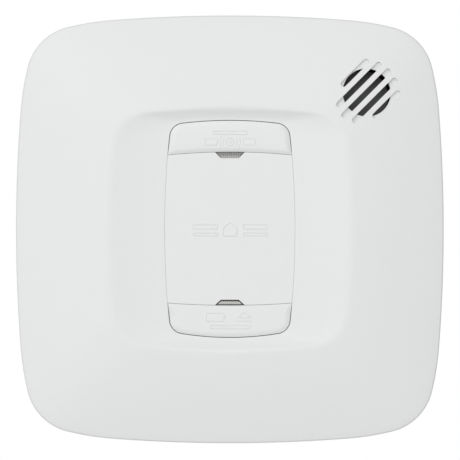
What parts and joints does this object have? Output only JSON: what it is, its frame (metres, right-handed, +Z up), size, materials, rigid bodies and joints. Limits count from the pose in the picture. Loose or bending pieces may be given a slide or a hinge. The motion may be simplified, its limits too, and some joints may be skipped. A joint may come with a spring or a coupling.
{
  "type": "carbon monoxide detector",
  "caption": "Square domed wall alarm with a sounder grille, test and eject buttons, a slide-out battery drawer and a twist-off mounting plate.",
  "frame": {"origin": "centre of the mounting plate's screw pattern, on the wall plane", "axes": "+X to the right seen from the room, +Y into the wall, +Z up; the front faces -Y"},
  "size_m": [0.148, 0.0439, 0.148],
  "materials": {
    "cover_plastic": "fine satin moulded, neutral white",
    "housing_plastic": "fine matte moulded, off white",
    "dark_plastic": "matte moulded, near black",
    "clear_plastic": "polished clear light guide",
    "yellow_plastic": "moulded plunger",
    "inlet_plastic": "moulded natural nylon",
    "battery_wrap": "printed film over a steel can, plain",
    "bright_metal": "bright tin or nickel plate",
    "spring_steel": "drawn spring steel",
    "screw_steel": "zinc-plated steel",
    "core_steel": "stacked laminations, varnished",
    "disc_lacquer": "dark lacquered brass",
    "brass_pins": "turned brass pins",
    "piezo_ceramic": "silvered ceramic",
    "foam_rubber": "closed-cell foam",
    "board": "green solder resist",
    "winding_tape": "yellow winding tape",
    "capacitor_box": "moulded box",
    "capacitor_sleeve": "shrink sleeve",
    "varistor_coat": "dipped epoxy",
    "relay_case": "moulded case",
    "fuse_ceramic": "ceramic tube",
    "resistor_coat": "lacquered body with plain bands",
    "green_led": "diffused epoxy",
    "red_led": "diffused epoxy",
    "label_film": "blank silver-grey film label"
  },
  "bodies": {
    "wall_plate": {"mounting_plate": "housing_plastic"},
    "alarm": {"rear_housing": "housing_plastic", "front_cover": "cover_plastic", "inner_frame": "housing_plastic", "battery_contacts": "bright_metal", "contact_blocks": "dark_plastic", "drawer_latch": "spring_steel", "drawer_springs": "spring_steel", "test_spring": "spring_steel", "eject_spring": "spring_steel", "test_switch": "dark_plastic", "upper_light_pipe": "clear_plastic", "lower_light_pipe": "clear_plastic", "power_led": "green_led", "alarm_led": "red_led", "circuit_board": "board", "microcontroller": "dark_plastic", "chip_legs": "bright_metal", "transformer_core": "core_steel", "transformer_coil": "winding_tape", "film_capacitor": "capacitor_box", "electrolytic_capacitors": "capacitor_sleeve", "varistor": "varistor_coat", "relay": "relay_case", "rectifier": "dark_plastic", "fuse": "fuse_ceramic", "resistors": "resistor_coat", "resistor_leads": "bright_metal", "horn_body": "dark_plastic", "horn_disc": "disc_lacquer", "horn_crystal": "piezo_ceramic", "horn_gasket": "foam_rubber", "horn_pins": "bright_metal", "sensor_can": "bright_metal", "sensor_cap": "dark_plastic", "power_inlet": "inlet_plastic", "inlet_pins": "brass_pins", "housing_screws": "screw_steel", "board_screws": "screw_steel", "frame_screws": "screw_steel", "rating_label": "label_film"},
    "test_key": {"test_button": "cover_plastic", "switch_plunger": "yellow_plastic"},
    "eject_key": {"eject_button": "cover_plastic"},
    "drawer": {"battery_drawer": "cover_plastic", "battery_body": "battery_wrap", "battery_snaps": "bright_metal"}
  },
  "joints": [
    {"name": "bayonet_twist", "type": "hinge", "parent": "wall_plate", "child": "alarm", "pos_m": [0, 0, 0], "axis": [0, -1, 0], "range_deg": [0, 15]},
    {"name": "test_press", "type": "slide", "parent": "alarm", "child": "test_key", "axis": [0, 1, 0], "range_m": [0, 0.0013], "stiffness_N_per_m": 1500, "springref_m": -0.001, "deforming": ["test_spring"]},
    {"name": "eject_press", "type": "slide", "parent": "alarm", "child": "eject_key", "axis": [0, 1, 0], "range_m": [0, 0.0022], "stiffness_N_per_m": 1200, "springref_m": -0.001, "deforming": ["eject_spring", "drawer_latch"]},
    {"name": "drawer_slide", "type": "slide", "parent": "alarm", "child": "drawer", "axis": [0, -1, 0], "range_m": [0, 0.02], "deforming": ["drawer_springs", "drawer_latch"]}
  ]
}
